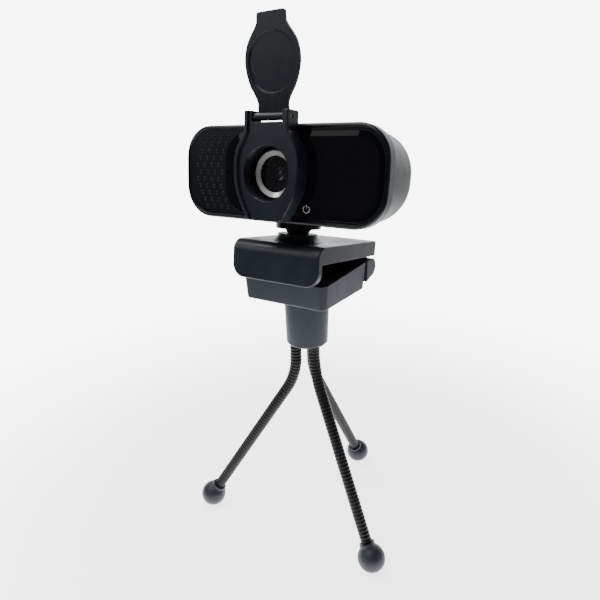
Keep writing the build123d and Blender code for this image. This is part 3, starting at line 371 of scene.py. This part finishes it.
for legName, (stub, bendRadius, bendAngle) in legShapes.items():
    joint = joints[f"{legName}_leg_bend"]
    axis = Vector(joint["axis"]).normalized()
    outwards = Vector((-axis.y, axis.x, 0)).normalized()
    if outwards.dot(Vector(joint["pos_m"]) - hubCentre) < 0:
        outwards = -outwards
    axis = outwards.cross(Vector((0, 0, 1)))
    turn = math.radians(bendAngle)
    root = Vector((joint["pos_m"][0], joint["pos_m"][1], hubUnderside))
    down = Vector((0, 0, -1))
    step = legLook["ribPitch"] / legLook["ringsPerRib"]
    arcLength = bendRadius * turn
    bendEnd = root + down * (stub + bendRadius * math.sin(turn))
    bendEnd += outwards * bendRadius * (1 - math.cos(turn))
    runAxis = outwards * math.sin(turn) + down * math.cos(turn)
    runLength = (bendEnd.z - legLook["footHeight"]) / math.cos(turn) - legLook["footGrip"]

    def place(along):
        # Point and tangent at a distance along the leg from the hub's underside
        if along <= stub:
            return root + down * along, down
        if along <= stub + arcLength:
            angle = (along - stub) / bendRadius
            centre = root + down * stub + outwards * bendRadius
            spot = centre - outwards * bendRadius * math.cos(angle) + down * bendRadius * math.sin(angle)
            return spot, (outwards * math.sin(angle) + down * math.cos(angle))
        return bendEnd + runAxis * (along - stub - arcLength), runAxis

    bounds = {"top": (-socketDepth, stub), "bend": (stub, stub + arcLength),
              "lower": (stub + arcLength, stub + arcLength + runLength)}
    for part, (first, last) in bounds.items():
        count = max(2, int(round((last - first) / step)))
        alongs = [first + (last - first) * i / count for i in range(count + 1)]
        placed = [place(a) for a in alongs]
        tube = ribbedTube(f"leg_sleeve_{legName}_{part}", [p for p, t in placed], [t for p, t in placed],
                          [a + socketDepth for a in alongs], axis)
        body = {"top": "tripod", "bend": None, "lower": f"{legName}_leg"}[part]
        finishPiece(tube, body, "legRubber")
        if part == "bend":
            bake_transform(tube)
        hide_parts(f"leg_{legName}_{part}")
print("legs ready")

symbolLook = {
    "x": 14.4, "h": -12.3,      # on the face, in millimetres
    "radius": 1.35, "line": 0.26, "gapDegrees": 66,
    "stemLength": 1.4, "stemRise": 0.35,
    "depth": 0.1,               # panel front behind the face plane
    "greyLow": (0.5, 0.52, 0.55), "greyHigh": (0.7, 0.72, 0.75), "roughness": 0.35,
}
printLift = 0.00002             # prints stand this far off their surface


def flatStrip(name, outline, matrix, lift):
    # Thin print: outline is a list of quads in the plane's own millimetres
    mesh = bpy.data.meshes.new(name)
    build = bmesh.new()
    for quad in outline:
        build.faces.new([build.verts.new((x * 0.001, y * 0.001, lift)) for x, y in quad])
    bmesh.ops.remove_doubles(build, verts=build.verts, dist=1e-7)
    build.to_mesh(mesh)
    build.free()
    piece = meshObject(name, mesh)
    piece.matrix_world = matrix
    return piece


def symbolQuads():
    quads = []
    inner = symbolLook["radius"] - symbolLook["line"] / 2
    outer = symbolLook["radius"] + symbolLook["line"] / 2
    first = 90 + symbolLook["gapDegrees"] / 2
    last = 450 - symbolLook["gapDegrees"] / 2
    steps = 48
    for i in range(steps):
        a = math.radians(first + (last - first) * i / steps)
        b = math.radians(first + (last - first) * (i + 1) / steps)
        quads.append([(inner * math.cos(a), inner * math.sin(a)), (outer * math.cos(a), outer * math.sin(a)),
                      (outer * math.cos(b), outer * math.sin(b)), (inner * math.cos(b), inner * math.sin(b))])
    half = symbolLook["line"] / 2
    top = symbolLook["radius"] + symbolLook["stemRise"]
    low = top - symbolLook["stemLength"]
    quads.append([(-half, low), (half, low), (half, top), (-half, top)])
    return quads


printMaterial, printTree, printShader = newMaterial("symbolPrint")
printNoise = addNode(printTree, "ShaderNodeTexNoise", Scale=2500.0, Detail=2.0)
printTone = addNode(printTree, "ShaderNodeMix", data_type="RGBA")
printTone.inputs[6].default_value = (*symbolLook["greyLow"], 1)
printTone.inputs[7].default_value = (*symbolLook["greyHigh"], 1)
printTree.links.new(printNoise.outputs["Fac"], printTone.inputs[0])
printTree.links.new(printTone.outputs[2], printShader.inputs["Base Color"])
printShader.inputs["Roughness"].default_value = symbolLook["roughness"]
materials["symbolPrint"] = printMaterial
symbolPoint = facePlace(symbolLook["x"], symbolLook["h"], -symbolLook["depth"])
symbolMatrix = axesMatrix(symbolPoint, rightAxis, upAxis, forwardAxis)
symbol = flatStrip("power_symbol_print", symbolQuads(), symbolMatrix, printLift)
finishPiece(symbol, "head", "symbolPrint")
print("prints ready")

markLook = {      # faint moulded marks on the flap, in millimetres and degrees
    "face": -2.0,               # flap's inner side from the hinge axis
    "gateRadius": 1.9, "gateLine": 0.16, "gateHeight": 4.2,
    "dashTilt": 20, "dashLength": 1.5, "dashHeight": 31.6, "dashHalf": 0.15,
    "lift": 0.04, "sink": 0.01,
}


def ringQuads(radius, line, centre=(0, 0), steps=48):
    quads = []
    inner, outer = radius - line / 2, radius + line / 2
    for i in range(steps):
        a = 2 * math.pi * i / steps
        b = 2 * math.pi * (i + 1) / steps
        quads.append([(centre[0] + r * math.cos(t), centre[1] + r * math.sin(t))
                      for r, t in ((inner, a), (outer, a), (outer, b), (inner, b))])
    return quads


def thickPrint(name, quads, matrix, height):
    # Raised mark: the flat outline given a small height
    piece = flatStrip(name, quads, matrix, 0.0)
    build = bmesh.new()
    build.from_mesh(piece.data)
    raised = bmesh.ops.extrude_face_region(build, geom=build.faces[:])
    bmesh.ops.translate(build, vec=(0, 0, height * 0.001),
                        verts=[g for g in raised["geom"] if isinstance(g, bmesh.types.BMVert)])
    bmesh.ops.recalc_face_normals(build, faces=build.faces)
    build.to_mesh(piece.data)
    build.free()
    return piece


flapMarkPoint = flapPoint + flapForward * (markLook["face"] - markLook["sink"]) * 0.001
flapMatrix = axesMatrix(flapMarkPoint, rightAxis, flapUp, flapForward)
gateMark = thickPrint("flap_gate_mark", ringQuads(markLook["gateRadius"], markLook["gateLine"],
                                                  (0, markLook["gateHeight"])), flapMatrix, markLook["lift"])
finishPiece(gateMark, "flap", "coverBlack")
tilt = math.radians(markLook["dashTilt"])
dashX = markLook["dashLength"] / 2 * math.sin(tilt)
dashH = markLook["dashLength"] / 2 * math.cos(tilt)
dashHalf = markLook["dashHalf"]
dashLow = markLook["dashHeight"] - dashH
dashHigh = markLook["dashHeight"] + dashH
dashQuad = [(-dashX - dashHalf, dashLow), (-dashX + dashHalf, dashLow),
            (dashX + dashHalf, dashHigh), (dashX - dashHalf, dashHigh)]
dashMark = thickPrint("flap_dash_mark", [dashQuad], flapMatrix, markLook["lift"])
finishPiece(dashMark, "flap", "coverBlack")


screwLook = {
    "crossLine": 0.32,          # width of a cross to its half length
    "jawX": 14, "jawRear": 7.5, "jawFront": 42, "jawHead": 5.3, "jawSize": 1.0,      # in millimetres
    "hubHead": 0.0012,          # screw head below the hub's underside, in metres
    "hubSize": 1.1,
}


def crossQuads(size, line):
    half = line / 2
    return [[(-size, -half), (size, -half), (size, half), (-size, half)],
            [(-half, half), (half, half), (half, size), (-half, size)],
            [(-half, -size), (half, -size), (half, -half), (-half, -half)]]


def screwRecessShade(name, place, xAxis, yAxis, outAxis, size, body):
    # Flat dark cross on a screw head: painted shade standing in for the shadowed cross recess
    quads = crossQuads(size, size * screwLook["crossLine"])
    piece = flatStrip(name, quads, axesMatrix(place, xAxis, yAxis, outAxis), printLift)
    finishPiece(piece, body, "blackPart")


# The case, jaw and hub screws get flat dark crosses: painted shade in place of their recesses
caseSpots = [(x, h) for x in (-headLook["screwX"], headLook["screwX"])
             for h in (-headLook["screwH"], headLook["screwH"])]
for index, (x, h) in enumerate(caseSpots):
    spot = facePlace(x, h, -headLook["screwBack"])
    screwRecessShade(f"case_screw_recess_shade_{index}", spot, -rightAxis, upAxis, -forwardAxis,
               headLook["crossSize"], "head")
jawSpots = [(x, u) for u in (screwLook["jawRear"], screwLook["jawFront"])
            for x in (-screwLook["jawX"], screwLook["jawX"])]
for index, (x, u) in enumerate(jawSpots):
    spot = jawOrigin + (rightAxis * x + jawForward * u + jawUp * screwLook["jawHead"]) * 0.001
    screwRecessShade(f"jaw_screw_recess_shade_{index}", spot, rightAxis, -jawForward, -jawUp,
               screwLook["jawSize"], "upper_jaw")
hubScrewSpot = Vector((hubCentre.x, hubCentre.y, hubUnderside - screwLook["hubHead"]))
screwRecessShade("hub_screw_recess_shade", hubScrewSpot, rightAxis, Vector((0, -1, 0)), Vector((0, 0, -1)),
           screwLook["hubSize"], "tripod")
print("marks ready")

stageLook = {
    "floorColor": (0.93, 0.93, 0.93), "floorShade": (0.9, 0.9, 0.9), "floorGlow": 2.8,
    "floorHalf": 0.5, "floorNear": 0.10, "floorFar": 0.34,      # size and fade of the paper, in metres
    "worldDark": 0.10, "worldBright": 2.4, "worldFrom": 0.3, "worldTo": 0.85,
    "worldTint": (0.96, 0.98, 1.0), "backdrop": 8.0,
}
lights = {      # place, where it points, size in metres, power in watts
    "keyLight": ((-0.2, -0.15, 0.75), (0, 0, 0.13), (0.7, 0.45), 6.0),
    "fillLight": ((-0.55, -0.6, 0.55), (0, 0, 0.12), (0.4, 0.4), 1.1),
    "sideLight": ((0.8, 0.1, 0.35), (0, 0, 0.14), (0.35, 0.6), 0.5),
}
cameraLook = {
    "azimuth": 32.35, "pitch": 18.68, "roll": 0.89,     # degrees
    "place": (0.11158, -0.19431, 0.18574),
    "lens": 29.886, "sensor": 36, "nearest": 0.01,
}
azimuth, pitch, roll = (math.radians(cameraLook[k]) for k in ("azimuth", "pitch", "roll"))
level = Vector((math.cos(azimuth), math.sin(azimuth), 0))
ahead = Vector((-math.sin(azimuth), math.cos(azimuth), 0))

floorMesh = bpy.data.meshes.new("floor")
half = stageLook["floorHalf"]
floorCorners = [(-half, -half, 0), (half, -half, 0), (half, half, 0), (-half, half, 0)]
floorMesh.from_pydata(floorCorners, [], [(0, 1, 2, 3)])
floor = meshObject("floor", floorMesh)
floorMaterial, floorTree, floorShader = newMaterial("floorPaper")
floorNoise = addNode(floorTree, "ShaderNodeTexNoise", Scale=3.0)
floorTone = addNode(floorTree, "ShaderNodeMix", data_type="RGBA")
floorTone.inputs[6].default_value = (*stageLook["floorColor"], 1)
floorTone.inputs[7].default_value = (*stageLook["floorShade"], 1)
floorTree.links.new(floorNoise.outputs["Fac"], floorTone.inputs[0])
floorTree.links.new(floorTone.outputs[2], floorShader.inputs["Base Color"])
floorShader.inputs["Roughness"].default_value = 0.8
floorShader.inputs["Emission Color"].default_value = (1, 1, 1, 1)
floorShader.inputs["Emission Strength"].default_value = stageLook["floorGlow"]
# The paper fades into the backdrop away from the feet
floorCoord = addNode(floorTree, "ShaderNodeTexCoord")
floorSpan = addNode(floorTree, "ShaderNodeVectorMath", operation="LENGTH")
floorFade = addNode(floorTree, "ShaderNodeMapRange", interpolation_type="SMOOTHSTEP",
                    From_Min=stageLook["floorNear"], From_Max=stageLook["floorFar"])
floorClear = addNode(floorTree, "ShaderNodeBsdfTransparent")
floorMix = addNode(floorTree, "ShaderNodeMixShader")
floorTree.links.new(floorCoord.outputs["Object"], floorSpan.inputs[0])
floorTree.links.new(floorSpan.outputs["Value"], floorFade.inputs["Value"])
floorTree.links.new(floorFade.outputs["Result"], floorMix.inputs[0])
floorTree.links.new(floorShader.outputs[0], floorMix.inputs[1])
floorTree.links.new(floorClear.outputs[0], floorMix.inputs[2])
floorTree.links.new(floorMix.outputs[0], floorTree.nodes["Material Output"].inputs["Surface"])
floor.data.materials.append(floorMaterial)


def areaLight(name, place, target, size, power):
    data = bpy.data.lights.new(name, "AREA")
    data.shape = "RECTANGLE"
    data.size, data.size_y = size
    data.energy = power
    lamp = bpy.data.objects.new(name, data)
    bpy.context.scene.collection.objects.link(lamp)
    lamp.location = place
    lamp.rotation_euler = (Vector(target) - Vector(place)).to_track_quat("-Z", "Y").to_euler()
    return lamp


for lightName, setting in lights.items():
    areaLight(lightName, *setting)

world = bpy.data.worlds.new("studio")
world.use_nodes = True
background = world.node_tree.nodes["Background"]
worldTree = world.node_tree
worldCoord = addNode(worldTree, "ShaderNodeTexCoord")
worldAhead = addNode(worldTree, "ShaderNodeVectorMath", operation="DOT_PRODUCT")
worldAhead.inputs[1].default_value = ahead
worldRamp = addNode(worldTree, "ShaderNodeMapRange", interpolation_type="SMOOTHSTEP",
                    From_Min=stageLook["worldFrom"], From_Max=stageLook["worldTo"],
                    To_Min=stageLook["worldDark"], To_Max=stageLook["worldBright"])
worldPath = addNode(worldTree, "ShaderNodeLightPath")
worldMix = addNode(worldTree, "ShaderNodeMix", data_type="FLOAT")
worldMix.inputs[3].default_value = stageLook["backdrop"]
worldTree.links.new(worldCoord.outputs["Generated"], worldAhead.inputs[0])
worldTree.links.new(worldAhead.outputs["Value"], worldRamp.inputs["Value"])
worldTree.links.new(worldPath.outputs["Is Camera Ray"], worldMix.inputs[0])
worldTree.links.new(worldRamp.outputs["Result"], worldMix.inputs[2])
worldTree.links.new(worldMix.outputs[0], background.inputs["Strength"])
background.inputs["Color"].default_value = (*stageLook["worldTint"], 1)
bpy.context.scene.world = world

lookAxis = ahead * math.cos(pitch) + Vector((0, 0, -math.sin(pitch)))
downAxis = -ahead * math.sin(pitch) + Vector((0, 0, -math.cos(pitch)))
imageRight = level * math.cos(roll) + downAxis * math.sin(roll)
imageDown = -level * math.sin(roll) + downAxis * math.cos(roll)
cameraData = bpy.data.cameras.new("camera")
cameraData.lens = cameraLook["lens"]
cameraData.sensor_width = cameraLook["sensor"]
cameraData.clip_start = cameraLook["nearest"]
camera = bpy.data.objects.new("camera", cameraData)
bpy.context.scene.collection.objects.link(camera)
camera.matrix_world = axesMatrix(Vector(cameraLook["place"]), imageRight, -imageDown, -lookAxis)
bpy.context.scene.camera = camera
print("stage ready")
